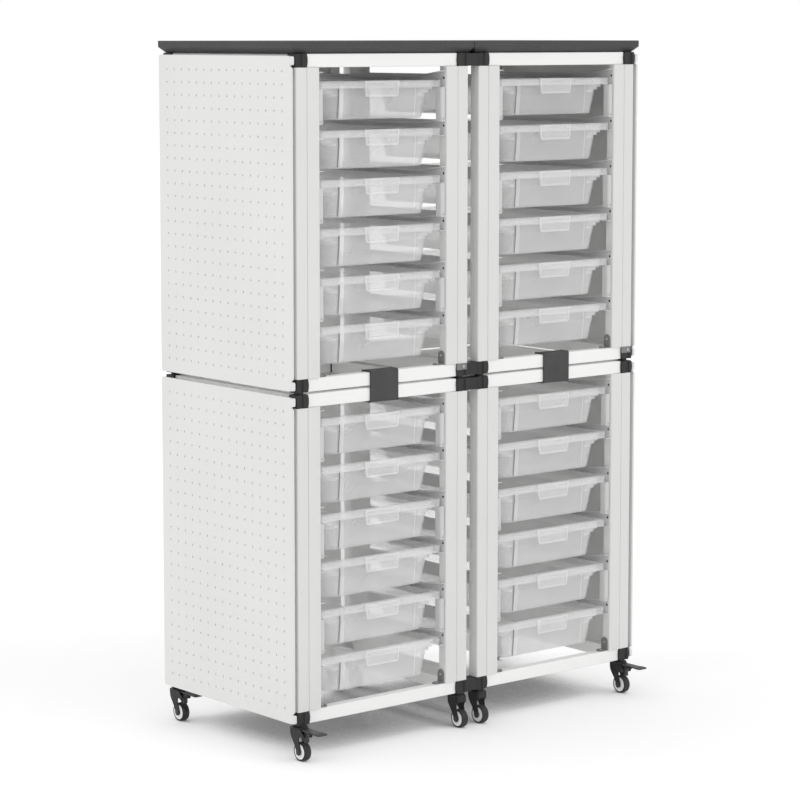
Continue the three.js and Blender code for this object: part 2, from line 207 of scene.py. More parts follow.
half = stageLook["size"] / 2 * mm
floorMesh = bpy.data.meshes.new("floor")
floorMesh.from_pydata([(-half, -half, 0), (half, -half, 0), (half, half, 0), (-half, half, 0)], [], [(0, 1, 2, 3)])
floorMesh.materials.append(floorFinish())
floor = placed("floor", floorMesh)
backdropLight()

for name, (side, height, strength) in lampLook["places"].items():
    lampData = bpy.data.lights.new(name, "SUN")
    lampData.energy, lampData.angle = strength, math.radians(lampLook["spread"])
    lamp = placed(name, lampData)
    lamp.rotation_euler = (math.radians(90 - height), 0, math.radians(side))
print("camera, floor and light set")


# finishes


# White powder coat: fine orange peel in the bump, roughness and tone drifting a little over the sheet
def powderCoat(name, colour, roughness=0.42):
    material, tree = newMaterial(name)
    base, peel = shade(colour), tree.noise(900.0, 2.0)
    tone = tree.ramp([(0.3, toned(base, 0.955)), (0.7, base)], tree.noise(3.0, 3.0))
    tree.principled({
        "Base Color": tone, "Roughness": peel * 0.12 + (roughness - 0.06), "Specular IOR Level": 0.4,
        "Normal": tree.bump(peel, 0.05, 0.0004),
    })
    return material


# Moulded plastic: spark-eroded grain in the bump, with paler patches that are a little rougher
def mouldedPlastic(name, colour, roughness):
    material, tree = newMaterial(name)
    base, drift = shade(colour), tree.noise(26.0, 4.0)
    tone = tree.ramp([(0.35, base), (0.75, toned(base, 1.22, 0.002))], drift)
    tree.principled({
        "Base Color": tone, "Roughness": drift * 0.2 + (roughness - 0.1), "Specular IOR Level": 0.3,
        "Normal": tree.bump(tree.noise(2200.0, 2.0), 0.12, 0.0005),
    })
    return material


# Charcoal laminate: pressed fibre speckle in two sizes, dull, with a shallow pore texture
def laminate(name, colour):
    material, tree = newMaterial(name)
    base, fibre, cloud = shade(colour), tree.noise(420.0, 5.0, {"Roughness": 0.7}), tree.noise(14.0, 3.0)
    stops = [(0.35, toned(base, 0.78)), (0.5, base), (0.68, toned(base, 1.25))]
    tree.principled({
        "Base Color": tree.ramp(stops, fibre * 0.7 + cloud * 0.3), "Roughness": fibre * 0.25 + 0.45,
        "Specular IOR Level": 0.35, "Normal": tree.bump(fibre + tree.cells(700.0), 0.08, 0.0003),
    })
    return material


# edge is the grey of a painted shade line on the tray's front wall, and line how much that line adds to the cover
clearLook = dict(colour="fafafa", edge="606060", wall=0.25, rim=0.11, slant=0.4, line=0.45, roughness=0.22)


# Clear tray plastic: a thin haze whose cover grows at the rim, at the tab, where the wall is seen aslant and in
# painted highlight bands, with a painted shade line in grey near the front wall's left end, faint flow marks and
# scuffs
def clearPlastic(name):
    material, tree = newMaterial(name)
    s, scuff, flow = clearLook, tree.noise(260.0, 4.0), tree.noise(9.0, 3.0, {"Distortion": 0.6})
    thick, line = (tree.node("Attribute", dict(attribute_name=key), None, "Fac") for key in ("thick", "bend"))
    slant = tree.node("LayerWeight", None, {"Blend": 0.5}, "Facing")
    haze = s["wall"] + thick * s["rim"] + (flow - 0.5) * 0.06
    # the attribute bend is a painted shade line: it turns the base colour grey and thickens the haze
    tree.principled({
        "Base Color": tree.ramp([(0.0, shade(s["colour"])), (1.0, shade(s["edge"]))], line),
        "Alpha": haze + slant * slant * s["slant"] + line * s["line"], "IOR": 1.5,
        "Roughness": s["roughness"] + (scuff - 0.5) * 0.16, "Normal": tree.bump(scuff, 0.04, 0.0004),
    })
    return material


# Tread rubber: dull, dusty, with a fine pebbled skin
def treadRubber(name, colour):
    material, tree = newMaterial(name)
    base, dust = shade(colour), tree.noise(90.0, 5.0)
    tone = tree.ramp([(0.4, base), (0.8, toned(base, 1.7, 0.006))], dust)
    tree.principled({
        "Base Color": tone, "Roughness": dust * 0.2 + 0.55, "Specular IOR Level": 0.3,
        "Normal": tree.bump(tree.cells(1500.0), 0.1, 0.0004),
    })
    return material


# Plated steel: bright, finely mottled in tone and shine
def platedSteel(name, colour, roughness=0.32):
    material, tree = newMaterial(name)
    base, mottle = shade(colour), tree.noise(1400.0, 2.0)
    tone = tree.ramp([(0.35, toned(base, 0.8)), (0.65, base)], mottle)
    tree.principled({"Base Color": tone, "Roughness": mottle * 0.16 + (roughness - 0.08), "Metallic": 1.0})
    return material


looks = dict(
    post=powderCoat("post_white", "e6e6e5"),
    rail=powderCoat("rail_white", "fcfcfb"),
    runner=powderCoat("runner_white", "d6d6d6"),
    panel=powderCoat("panel_white", "ebebea", 0.46),
    connector=mouldedPlastic("connector_black", "2a2a2a", 0.46),
    fork=mouldedPlastic("caster_black", "242424", 0.44),
    pedal=mouldedPlastic("pedal_grey", "3c3c3c", 0.42),
    clip=mouldedPlastic("clip_charcoal", "444444", 0.6),
    board=laminate("board_charcoal", "464647"),
    tray=clearPlastic("tray_clear"),
    tyre=treadRubber("tread_dark", "303030"),
    hub=mouldedPlastic("hub_white", "f2f2f1", 0.4),
    bracket=mouldedPlastic("bracket_grey", "7c7c7c", 0.45),
    screw=platedSteel("screw_bright", "d8d8d6"),
    darkScrew=platedSteel("screw_black", "4a4a4a", 0.4),
)
print("finishes made:", len(looks))


# shapes

# A shape is drawn in (u, v) and raised along h. These put (u, v, h) in the order (x, y, z) for each axis h,
# and back again: the three are turned round, never mirrored
turns = dict(z=[0, 1, 2], x=[2, 0, 1], y=[1, 2, 0])
turnsBack = dict(z=[0, 1, 2], x=[1, 2, 0], y=[2, 0, 1])
meshLook = dict(
    barCorner=1.3,  # a bar's corners against the rounding of its ends
    join=2e-6,  # metres: points nearer than this become one
)


# Rectangle with quarter-circle corners: corner centre plus radius times (cos, sin), counter-clockwise
def roundedRect(x0, x1, y0, y1, radius, steps=3):
    turn = (np.arange(4)[:, None] + np.linspace(0, 1, steps + 1)) * np.pi / 2
    cx = np.array([x1 - radius, x0 + radius, x0 + radius, x1 - radius])[:, None]
    cy = np.array([y1 - radius, y1 - radius, y0 + radius, y0 + radius])[:, None]
    return np.stack([cx + radius * np.cos(turn), cy + radius * np.sin(turn)], -1).reshape(-1, 2)


# Outline moved inward: each corner slides along its bisector until both its sides have moved by the distance
def inset(outline, distance):
    ahead = np.roll(outline, -1, 0) - outline
    ahead = ahead / np.linalg.norm(ahead, axis=1, keepdims=True)
    inward = np.stack([-ahead[:, 1], ahead[:, 0]], -1)
    before = np.roll(inward, 1, 0)
    return outline + distance * (inward + before) / (1 + (inward * before).sum(1, keepdims=True))


# Arc about a centre from one angle to another, in degrees
def arc(centre, radius, start, end, count=6):
    turn = np.radians(np.linspace(start, end, count))
    return np.stack([centre[0] + radius * np.cos(turn), centre[1] + radius * np.sin(turn)], -1)


# Cubic curve: the four points weighted by the Bernstein polynomials
def bezier(points, count):
    t = np.linspace(0, 1, count)[:, None]
    p = np.array(points, float)
    return (1 - t) ** 3 * p[0] + 3 * t * (1 - t) ** 2 * p[1] + 3 * t ** 2 * (1 - t) * p[2] + t ** 3 * p[3]


# An outline at one height
def flatRing(outline, height):
    return np.column_stack([outline, np.full(len(outline), height)])


# Skin over closed outlines in order: each row joins the next with quads; the ends close as flat faces,
# or the last row joins the first where the skin is a loop
def skin(rings, loop=False):
    rows, count = rings.shape[:2]
    index = np.arange(rows * count).reshape(rows, count)
    low = index if loop else index[:-1]
    high = np.roll(index, -1, 0) if loop else index[1:]
    quads = np.stack([low, np.roll(low, -1, 1), np.roll(high, -1, 1), high], -1).reshape(-1, 4)
    faces = [quads] if loop else [quads, index[:1, ::-1], index[-1:]]
    return rings.reshape(-1, 3), faces


# An outline raised through levels of (height, inset) along an axis: (u, v) is (x, y), (y, z) or (z, x)
def raised(outline, levels, axis="z"):
    rings = np.stack([flatRing(inset(outline, depth), height) for height, depth in levels])
    return skin(rings[..., turns[axis]])


# Levels of a bar with rounded ends: the inset follows a quarter circle at both
def softEnds(low, high, edge, steps=2):
    a = np.linspace(0, np.pi / 2, steps + 1)
    up = np.stack([edge * (1 - np.cos(a)), edge * (1 - np.sin(a))], -1)
    top = np.stack([high - up[::-1, 0], up[::-1, 1]], -1)
    return np.concatenate([up + [low, 0], top])


# Bar with every edge rounded, given by its corners, drawn along an axis
def bar(low, high, edge, axis="z", radius=None):
    (u0, v0, h0), (u1, v1, h1) = np.array([low, high], float)[:, turnsBack[axis]]
    outline = roundedRect(u0, u1, v0, v1, radius or edge * meshLook["barCorner"])
    return raised(outline, softEnds(h0, h1, edge, steps=3), axis)


# Turned piece: a profile of (radius, height) carried round an axis through a centre
def turned(profile, centre, axis, sides, loop=False):
    p = np.array(profile, float)
    turn = np.arange(sides) * 2 * np.pi / sides
    rings = np.stack([
        p[:, :1] * np.cos(turn), p[:, :1] * np.sin(turn), np.repeat(p[:, 1:], sides, 1),
    ], -1)
    points, faces = skin(rings[..., turns[axis]], loop)
    return points + np.array(centre, float), faces


# Mirror image across a plane: the coordinate is reflected and the faces run the other way round
def mirrored(patches, axis, about):
    flip = np.ones(3)
    flip[axis] = -1
    shift = np.zeros(3)
    shift[axis] = 2 * about
    return [(points * flip + shift, [f[:, ::-1] for f in faces]) for points, faces in patches]


def moved(patches, offset):
    return [(points + np.array(offset, float), faces) for points, faces in patches]


def fourCorners(patches, middleX):
    front = patches + mirrored(patches, 0, middleX)
    return front + mirrored(front, 1, midY)


# Patches put into one mesh as whole arrays, shaded smooth except at edges sharper than an angle in degrees
def piece(name, patches, look, body, nodes=(), sharp=40, merge=False, marks=None):
    points = np.concatenate([p for p, _ in patches]) * mm
    starts = np.cumsum([0] + [len(p) for p, _ in patches])
    loops, sizes = [], []
    for start, (_, faces) in zip(starts, patches):
        for block in faces:
            loops.append((block + start).ravel())
            sizes.append(np.full(len(block), block.shape[1]))
    loops, sizes = np.concatenate(loops), np.concatenate(sizes)
    mesh = bpy.data.meshes.new(name)
    mesh.vertices.add(len(points))
    mesh.vertices.foreach_set("co", points.astype(np.float32).ravel())
    mesh.loops.add(len(loops))
    mesh.loops.foreach_set("vertex_index", loops.astype(np.int32))
    mesh.polygons.add(len(sizes))
    mesh.polygons.foreach_set("loop_start", (np.cumsum(sizes) - sizes).astype(np.int32))
    mesh.update(calc_edges=True)
    if merge:
        soup = bmesh.new()
        soup.from_mesh(mesh)
        bmesh.ops.remove_doubles(soup, verts=soup.verts, dist=meshLook["join"])
        soup.to_mesh(mesh)
        soup.free()
    for key, values in (marks or {}).items():
        mesh.attributes.new(key, "FLOAT", "POINT").data.foreach_set("value", values.astype(np.float32))
    mesh.validate()
    mesh.polygons.foreach_set("use_smooth", np.ones(len(mesh.polygons), bool))
    mesh.set_sharp_from_angle(angle=math.radians(sharp))
    mesh.materials.append(looks[look])
    made = placed(name, mesh)
    even = made.modifiers.new("even_faces", "WEIGHTED_NORMAL")
    even.keep_sharp = True
    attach(made, body)
    if nodes:
        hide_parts(*nodes)


# frames

frameLook = dict(
    tube=27.0, tubeDepth=26.0, uprightDepth=22.0, tubeEdge=2.6, uprightEdge=2.2,
    railDepth=22.0, railRecess=3.5, railEdge=1.6,
)


# Posts: a square tube and a shallower tray upright side by side, each a rounded rectangle raised between the rings
def posts(middleX, base):
    s = frameLook
    x0, y0 = middleX - unit["half"], frontY
    seam, inner = x0 + s["tube"], middleX - unit["openingHalf"]
    levels = [(base + rail, 0), (base + unit["height"] - rail, 0)]
    tube = raised(roundedRect(x0, seam, y0, y0 + s["tubeDepth"], s["tubeEdge"]), levels)
    upright = raised(roundedRect(seam, inner, y0, y0 + s["uprightDepth"], s["uprightEdge"]), levels)
    return fourCorners([tube, upright], middleX)


# Rails of one ring: rounded bars between the corner connectors
def railRing(middleX, low):
    s = frameLook
    x0, y0 = middleX - unit["half"], frontY
    high = low + rail
    y1 = y0 + unit["depth"]
    front = bar((x0 + s["tube"], y0 + s["railRecess"], low),
                (middleX * 2 - x0 - s["tube"], y0 + s["railRecess"] + s["railDepth"], high), s["railEdge"], "x")
    side = bar((x0 + s["railRecess"], y0 + s["tubeDepth"], low),
               (x0 + s["railRecess"] + s["railDepth"], y1 - s["tubeDepth"], high), s["railEdge"], "y")
    return [front, side] + mirrored([front], 1, midY) + mirrored([side], 0, middleX)


connectorLook = dict(
    proud=1.0, corner=1.8, edge=0.8, lap=1.8, belly=2.2, swell=(0.1, 0.9), swellRows=7,
    groove=5.0, grooveAt=-3.0, grooveDepth=2.4, grooveLean=1.8,
    boss=8.0, bossTip=6.0, bossRound=3.5, bossReach=7.4, bossEdge=1.0, bossShare=0.8,
    linkOut=14.0, linkIn=3.0, linkFront=0.8, linkBack=1.0, linkGap=0.5, linkRound=1.2,
)


# Corner connector: a block with a slot down its front, whose width swells along a parabola to mid-height;
# a boss narrows from it to the panel, and on the inner side a square link runs to the neighbouring module
def connectors(middleX, low, outer):
    s = connectorLook
    edgeX, tall = middleX - unit["half"], rail
    x0, y0 = edgeX - s["belly"], frontY - s["proud"]
    x1, y1 = edgeX + frameLook["tube"] + s["lap"], frontY + frameLook["tubeDepth"]
    middle, wide = (x0 + x1) / 2, (x1 - x0) / 2
    plain = roundedRect(x0, x1, y0, y1, s["corner"])
    g, lean = s["groove"], s["grooveLean"]
    at, deep = middle + s["grooveAt"], y0 + s["grooveDepth"]
    slot = np.array([[at - g, y0], [at - g + lean, deep], [at + g - lean, deep], [at + g, y0]])
    last = len(plain) * 3 // 4  # the slot comes before the last corner
    outline = np.concatenate([plain[:last], slot, plain[last:]])
    swell = np.linspace(*s["swell"], s["swellRows"])[:, None] * [tall, 0]
    foot, head = np.split(softEnds(0, tall, s["edge"]), 2)
    layers = []
    for height, depth in np.concatenate([foot, swell, head]):
        ring = inset(outline, depth)
        slim = 1 - s["belly"] * (2 * height / tall - 1) ** 2 / wide
        ring[:, 0] = middle + (ring[:, 0] - middle) * slim
        layers.append(flatRing(ring, low + height))
    block = skin(np.stack(layers))
    cy, cz, b = frontY + frameLook["tubeDepth"] / 2, low + tall / 2, s["boss"]
    square = roundedRect(cy - b, cy + b, cz - b, cz + b, s["bossRound"])
    drawn, tip = b - s["bossTip"], s["bossReach"]
    narrowing = [(0, 0), (tip - s["bossEdge"], drawn * s["bossShare"]), (tip, drawn)]
    cone = mirrored([raised(square, narrowing, "x")], 0, edgeX / 2)
    y0, y1 = y0 + s["linkFront"], y1 - s["linkBack"]
    face = roundedRect(y0, y1, low + s["linkGap"], low + tall - s["linkGap"], s["linkRound"])
    link = [raised(face, [(edgeX - s["linkOut"], 0), (edgeX + s["linkIn"], 0)], "x")]
    sides = {True: cone, False: link}
    front = [block] + sides[outer < 0] + mirrored([block] + sides[outer > 0], 0, middleX)
    return front + mirrored(front, 1, midY)


runnerLook = dict(
    sheet=1.5, sunk=0.5, reach=12.0, foot=-15.8, ledge=-14.3, head=7.0, inset=3.0,
    mouth=70.0, mouthRows=5, rise=10.0, topDrop=53.0, pitch=95.0, rows=6,
    stopSide=1.0, stopFoot=0.2, stopHead=0.6, stopEdge=0.4,
    screw=2.6, screwAt=(7.5, 4.0), screwSunk=0.6,
)
spacerLook = dict(gap=5.0, over=0.4, depth=19.0, lap=0.5, edge=1.5, corner=4.0)


# Height of a tray's rim, with the rows counted from the top
def rowTop(base, row):
    return base + unit["height"] - runnerLook["topDrop"] - row * runnerLook["pitch"]


# Tray runners: a C section carried from front to back, whose upper lip climbs towards the mouth; a stop behind
def runners(middleX, base):
    s = runnerLook
    wall = middleX - unit["openingHalf"] - s["sunk"]
    ahead = np.linspace(0, 1, s["mouthRows"])
    y = np.concatenate([s["inset"] + s["mouth"] * ahead, [unit["depth"]]]) + frontY
    rise = np.concatenate([s["rise"] * (1 - ahead), [0.0]])
    x = np.array([0, 0, s["reach"], s["reach"], s["sheet"], s["sheet"], s["reach"], s["reach"]])
    x = np.where(x > 0, x + s["sunk"], x)
    head, lip = s["head"], s["head"] + s["sheet"]
    z = np.array([s["foot"], lip, lip, head, head, s["ledge"], s["ledge"], s["foot"]])
    climbs = np.array([0, 1, 1, 1, 1, 0, 0, 0])
    made = []
    for row in range(s["rows"]):
        top = rowTop(base, row)
        rings = np.stack(np.broadcast_arrays(wall + x, y[:, None], top + z + climbs * rise[:, None]), -1)
        stop = bar((wall + s["stopSide"], y[-1] - s["sheet"], top + s["foot"] + s["stopFoot"]),
                   (wall + s["reach"], y[-1], top + head + s["stopHead"]), s["stopEdge"], "x")
        made += [skin(rings), stop]
    return made + mirrored(made, 0, middleX)


# Spacers that join the runners in pairs at the mouth: rounded bars from one runner's foot to the next one's lip
def spacers(middleX, base):
    s, r = spacerLook, runnerLook
    x0, y0 = middleX - unit["openingHalf"] - r["sunk"], frontY + r["inset"]
    made = []
    for row in range(0, r["rows"], 2):
        top = rowTop(base, row)
        low, high = top - r["pitch"] + r["head"] + s["gap"], top + r["foot"] + s["lap"]
        corner = (x0 + r["reach"] + s["over"], y0 + s["depth"], high)
        made.append(bar((x0, y0, low), corner, s["edge"], "z", s["corner"]))
    return made + mirrored(made, 0, middleX)


# shares of the radius, and heights
screwLook = dict(sides=12, profile=((1.0, 0.0), (1.0, 0.5), (0.86, 1.1), (0.55, 1.4), (0.5, 0.7)))


# Pan-head screw: a shallow dome turned about its axis with a socket sunk in the top
def screwHead(centre, radius, axis="x"):
    return turned(np.array(screwLook["profile"]) * [radius, 1], centre, axis, screwLook["sides"])


# Dark screws that hold each runner to its upright, at the mouth; they look across the opening
def runnerScrews(middleX, base):
    s = runnerLook
    x = middleX - unit["openingHalf"] + s["sheet"] - s["screwSunk"]
    inward, up = s["screwAt"]
    made = []
    for row in range(s["rows"]):
        made.append(screwHead((x, frontY + inward, rowTop(base, row) + up), s["screw"]))
    return made + mirrored(made, 0, middleX)


bracketLook = dict(
    sheet=2.5, height=28.0, foot=22.0, width=18.0, near=4.5, off=0.3, edge=0.5, arcPoints=11,
    screw=2.3, screwSunk=0.2, sideScrew=10.0, footScrew=12.0,
)


# Foot bracket: an arched leg against the upright and a round-ended foot on the rail
def brackets(middleX, base):
    s = bracketLook
    wall = middleX - unit["openingHalf"] + s["off"]
    y0, r, n = frontY + s["near"], s["width"] / 2, s["arcPoints"]
    y1, mid, low = y0 + s["width"], y0 + r, base + rail
    arch = np.concatenate([[[y0, low], [y1, low]], arc((mid, low + s["height"] - r), r, 0, 180, n)])
    leg = raised(arch, softEnds(wall, wall + s["sheet"], s["edge"]), "x")
    tip = wall + s["foot"] - r
    tongue = np.concatenate([arc((tip, mid), r, -90, 90, n), [[wall, y1], [wall, y0]]])
    foot = raised(tongue, softEnds(low, low + s["sheet"], s["edge"]))
    return [leg, foot] + mirrored([leg, foot], 0, middleX)


# One screw through each bracket's leg and one through its foot
def bracketScrews(middleX, base):
    s = bracketLook
    x = middleX - unit["openingHalf"] + s["off"] + s["sheet"] - s["screwSunk"]
    y, low = frontY + s["near"] + s["width"] / 2, base + rail
    side = screwHead((x, y, low + s["height"] - s["sideScrew"]), s["screw"])
    flat = screwHead((x + s["foot"] - s["footScrew"], y, low + s["sheet"] - s["screwSunk"]), s["screw"], "z")
    return [side, flat] + mirrored([side, flat], 0, middleX)


padLook = dict(at=(13.5, 13.0), sides=24, profile=((9.0, -4.5), (9.0, -0.6), (8.4, 0.5)))
coverLook = dict(
    low=13.0, high=25.8, width=26.0, depth=3.0, proud=0.7, edge=0.6, corner=1.6,
    screw=2.6, screwX=17.0, screwZ=19.5, screwSunk=0.6,
)


# Stacking pads under an upper module's connectors
def pads(middleX, base):
    inX, inY = padLook["at"]
    centre = (middleX - unit["half"] + inX, frontY + inY, base)
    return fourCorners([turned(padLook["profile"], centre, "z", padLook["sides"])], middleX)


# Grey cover with its screw on the upper half of an upper module's lower right front connector
def jointCover(middleX, base):
    s = coverLook
    x0 = middleX + unit["half"] - frameLook["tube"] - connectorLook["lap"]
    y0 = frontY - connectorLook["proud"]
    cover = bar((x0, y0 - s["proud"], base + s["low"]), (x0 + s["width"], y0 + s["depth"], base + s["high"]),
                s["edge"], "z", s["corner"])
    head = mirrored([screwHead((0, 0, 0), s["screw"], "y")], 1, 0)
    return [cover], moved(head, (x0 + s["screwX"], y0 - s["screwSunk"], base + s["screwZ"]))


modules = [(level, side) for level in ("upper", "lower") for side in ("left", "right")]
for level, side in modules:
    middleX, base, outer = signs[side] * unit["moduleX"], unit["floors"][level], signs[side]
    name, topRing = f"{level}_{side}", base + unit["height"] - rail
    rack, ring = f"{name}_tray_rack", f"{name}_base_frame"
    rails = railRing(middleX, base) + railRing(middleX, topRing)
    slides = runners(middleX, base) + spacers(middleX, base)
    corners = connectors(middleX, base, outer) + connectors(middleX, topRing, outer)
    feet, bright = brackets(middleX, base), bracketScrews(middleX, base)
    if level == "upper":
        corners += pads(middleX, base)
        cover, head = jointCover(middleX, base)
        feet, bright = feet + cover, bright + head
    piece(f"{name}_posts", posts(middleX, base), "post", "frame", [rack])
    piece(f"{name}_rails", rails, "rail", "frame", [ring])
    piece(f"{name}_runners", slides, "runner", "frame", [rack], sharp=30)
    piece(f"{name}_connectors", corners, "connector", "frame", [rack, ring])
    piece(f"{name}_brackets", feet, "bracket", "frame", [ring])
    piece(f"{name}_bracket_screws", bright, "screw", "frame")
    piece(f"{name}_runner_screws", runnerScrews(middleX, base), "darkScrew", "frame")
print("frames made")


# peg panels

panelLook = dict(
    out=12.0, thick=4.6, inset=3.75, radius=5.0, arcPoints=5, notch=5.0, notchHeight=21.0, edge=0.7,
    pitch=25.4, columns=16, rows=24, hole=2.5, sides=16, socket=2.0,
)
lugLook = dict(front=-0.3, back=6.0, half=8.5, under=-3.4, sunk=0.4, edge=1.2, corner=3.0)


# Peg panel seen from its holed side, at u along the depth, v up and w out of the sheet: square cells with a ring
# of faces round each hole, four border faces out to the rounded outline, a wall and a floor in each hole,
# a rounded edge all round and one plain face behind
def pegPanel():
    s = panelLook
    low, high, back = s["inset"], unit["height"] - s["inset"], unit["depth"]
    r, n, foot = s["radius"], s["arcPoints"], low + s["notchHeight"]
    lower = np.concatenate([arc((r, foot + r), r, 180, 270, n), arc((s["notch"] + r, low + r), r, 180, 270, n)])
    upper = (lower * [1, -1] + [0, low + high])[::-1]
    outline = np.concatenate([
        arc((back - r, high - r), r, 0, 90, n), upper, lower, arc((back - r, low + r), r, 270, 360, n),
    ])
    bends = n // 2 + n * np.array([0, 1, 4, 5, 6])  # middles of the four outer corners, and the first again
    sides, cell = s["sides"], s["pitch"] / 2
    angle = np.arange(sides) * 2 * np.pi / sides
    ray = np.stack([np.cos(angle), np.sin(angle)], -1)
    square = ray / np.abs(ray).max(1, keepdims=True) * cell
    cu = unit["depth"] / 2 + (np.arange(s["columns"]) - (s["columns"] - 1) / 2) * s["pitch"]
    cv = unit["height"] / 2 + (np.arange(s["rows"]) - (s["rows"] - 1) / 2) * s["pitch"]
    centres = np.stack(np.meshgrid(cu, cv), -1).reshape(-1, 1, 2)
    outerRing, hole = centres + square, centres + ray * s["hole"]
    count, k = len(centres), np.arange(sides)
    after = np.roll(k, -1)
    step = np.arange(count)[:, None, None] * 3 * sides
    heights = np.zeros((count, 3 * sides, 1)) + s["thick"]
    heights[:, 2 * sides:] -= s["socket"]
    points = np.concatenate([np.concatenate([outerRing, hole, hole], 1), heights], -1).reshape(-1, 3)
    flat = np.stack([k + sides, k, after, after + sides], -1)
    faces = [(flat + step).reshape(-1, 4), (flat + sides + step).reshape(-1, 4), k + 2 * sides + step[:, 0]]
    patches = [(points, faces)]
    ticks = np.tan(np.radians([-45, -22.5, 0, 22.5])) * cell  # where a cell's rays meet its side
    alongU = np.append((cu[:, None] + ticks).ravel(), cu[-1] + cell)
    alongV = np.append((cv[:, None] + ticks).ravel(), cv[-1] + cell)

    def straight(u, v):
        return np.stack(np.broadcast_arrays(u, v), -1)

    edges = [
        straight(alongU, alongV[-1]), straight(alongU[0], alongV),
        straight(alongU[::-1], alongV[0]), straight(alongU[-1], alongV[::-1]),
    ]
    twiceRound = np.concatenate([inset(outline, s["edge"])] * 2)
    for first, last, edge in zip(bends, bends[1:], edges):
        border = np.concatenate([twiceRound[first:last + 1], edge])
        patches.append((flatRing(border, s["thick"]), [np.arange(len(border))[None]]))
    points, faces = raised(outline, softEnds(0, s["thick"], s["edge"]))
    patches.append((points, faces[:2]))  # without the front face, which the cells make
    return patches


# White lugs in the notches, between a panel and the front of each connector
def panelLugs():
    s, high = lugLook, panelLook["thick"] - lugLook["sunk"]
    made = []
    for v in (rail / 2, unit["height"] - rail / 2):
        low = (s["front"], v - s["half"], s["under"])
        made.append(bar(low, (s["back"], v + s["half"], high), s["edge"], "z", s["corner"]))
    return made


upright = [(points[:, turns["x"]], faces) for points, faces in pegPanel() + panelLugs()]
inside = unit["moduleX"] + unit["half"] + panelLook["out"] - panelLook["thick"]
for level, side in modules:
    sheet = moved(upright, (inside, frontY, unit["floors"][level]))
    if signs[side] < 0:
        sheet = mirrored(sheet, 0, 0)
    name = f"{level}_{side}"
    piece(f"{name}_panel", sheet, "panel", "frame", [f"{name}_peg_panel"], sharp=30, merge=True)
print("peg panels made")


# trays

trayLook = dict(
    halfX=156.0, halfY=213.5, wall=2.2, height=75.0, rimDrop=14.0, mouthX=13.5, mouthY=10.5,
    stepIn=(10.0, 11.5, 13.0), stepRadius=(8.0, 22.0, 36.0), stepDown=5.6, bodyY=12.5, taperX=8.0, taperY=4.0,
    rimRadius=8.0, rimEdge=0.9, floorRound=3.0, floorTurn=0.8, insideDrop=0.5, cornerSteps=6, recess=9.0,
    apart=(0.05, 0.08),  # keeps the rows of the steps from lying in one another
    seams=(98.6, 97.6, 96.0, 95.0, 86.0, 84.0),  # from the middle of each side
    # dark is a painted shade line near the left end of the front wall; pale and paintedHighlightRight are painted
    # highlight bands beside it and near the right end
    cornerThick=1.4, dark=1.0, paintedHighlight=1.0, paintedHighlightRight=0.8,
)
tabLook = dict(
    width=88.0, foot=82.0, height=31.0, thick=3.0, edge=4.2, radius=3.5, arcPoints=5,
    sunk=0.9, soft=0.5, lap=0.4, looks=(-0.6, 0.6, 0.9, 0.7, -0.6),  # how thick each level looks
)


# Rounded rectangle with more points on its straights, at fixed distances from the middle
def seamedRect(hx, hy, radius):
    seams, ring = np.array(trayLook["seams"]), []
    corners = roundedRect(-hx, hx, -hy, hy, radius, trayLook["cornerSteps"]).reshape(4, -1, 2)
    for number, corner in enumerate(corners):
        axis, sign = number % 2, np.sign(corner[0])  # the axis of the straight that follows the corner
        before, after = (np.repeat(corner[end][None], len(seams), 0) for end in (0, -1))
        before[:, 1 - axis] = sign[1 - axis] * seams[::-1]
        after[:, axis] = sign[axis] * seams
        ring += [before, corner, after]
    return np.concatenate(ring)


